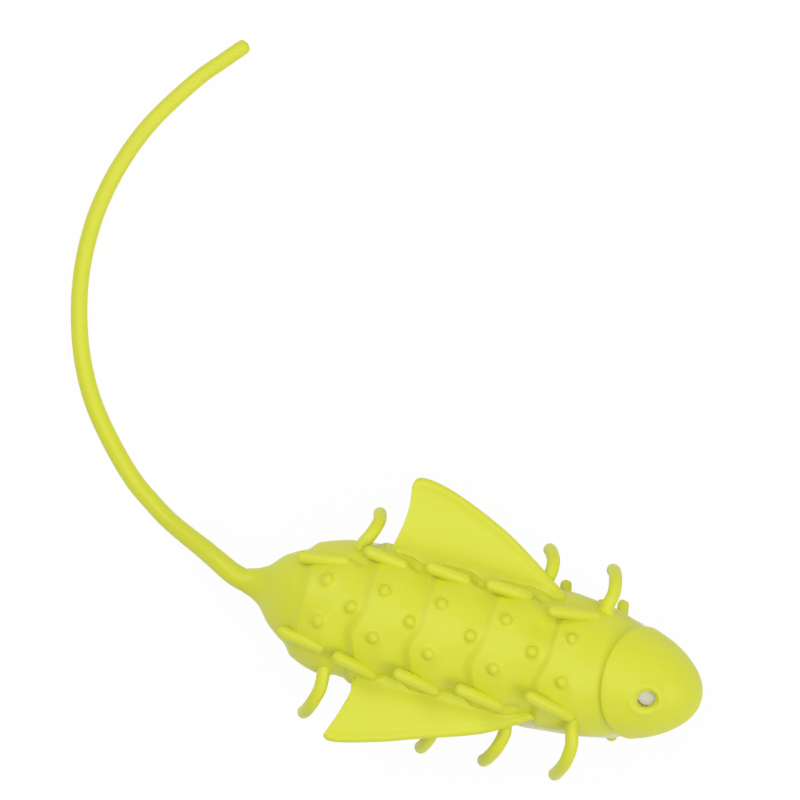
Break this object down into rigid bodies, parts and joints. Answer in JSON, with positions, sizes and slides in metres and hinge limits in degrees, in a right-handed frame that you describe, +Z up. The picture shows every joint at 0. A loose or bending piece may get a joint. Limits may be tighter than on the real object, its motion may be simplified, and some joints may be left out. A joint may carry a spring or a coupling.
{
  "type": "vibrating bug cat toy",
  "caption": "Cat toy shaped as a ringed bug with wings, spines and a long tail: a slip-on rubber skin over a plastic capsule with a shaking motor, a push button and a belly battery door.",
  "frame": {"origin": "on the floor, under the middle of the body without its tail", "axes": "+X to the nose, +Y to the bug's left, +Z up"},
  "size_m": [0.1302, 0.1188, 0.0299],
  "materials": {
    "skin_rubber": "soft matte moulded rubber, yellow-green",
    "white_shell": "satin moulded plastic, white",
    "button_plastic": "satin moulded plastic, greyish white",
    "dark_plastic": "matte moulded plastic, black",
    "board": "green circuit board",
    "cell_jacket": "smooth plain battery jacket",
    "contact_steel": "nickel plated sheet and wire",
    "screw_steel": "zinc plated steel",
    "motor_steel": "drawn steel",
    "black_rubber": "matte black",
    "red_lead": "red wire insulation"
  },
  "bodies": {
    "body": {"skin": "skin_rubber", "tail": "skin_rubber", "upper_shell": "white_shell", "lower_shell": "white_shell", "leg_strip_left": "skin_rubber", "leg_strip_right": "skin_rubber", "switch_body": "dark_plastic", "circuit_board": "board", "battery_cell": "cell_jacket", "contact_plate_front": "contact_steel", "contact_plate_rear": "contact_steel", "battery_spring": "contact_steel", "shell_screw_front_left": "screw_steel", "shell_screw_front_right": "screw_steel", "shell_screw_rear_left": "screw_steel", "shell_screw_rear_right": "screw_steel", "motor_case": "motor_steel", "motor_end_cap": "button_plastic", "motor_sleeve": "black_rubber", "motor_lead_red": "red_lead", "motor_lead_black": "black_rubber"},
    "rotor": {"motor_shaft": "screw_steel", "eccentric_weight": "motor_steel"},
    "button": {"power_button": "button_plastic", "switch_plunger": "dark_plastic"},
    "door": {"battery_door": "white_shell"},
    "door_fastener": {"door_screw": "screw_steel"}
  },
  "joints": [
    {"name": "motor_spin", "type": "hinge", "parent": "body", "child": "rotor", "pos_m": [-0.03, 0, 0.0145], "axis": [1, 0, 0], "continuous": true},
    {"name": "button_press", "type": "slide", "parent": "body", "child": "button", "axis": [0, 0.2756, -0.9613], "range_m": [0, 0.0008], "stiffness_N_per_m": 400},
    {"name": "door_lift", "type": "slide", "parent": "body", "child": "door", "axis": [0, 0, -1], "range_m": [0, 0.012]},
    {"name": "screw_turn", "type": "hinge", "parent": "door", "child": "door_fastener", "pos_m": [0.0316, 0, 0.008], "axis": [0, 0, 1], "continuous": true}
  ]
}
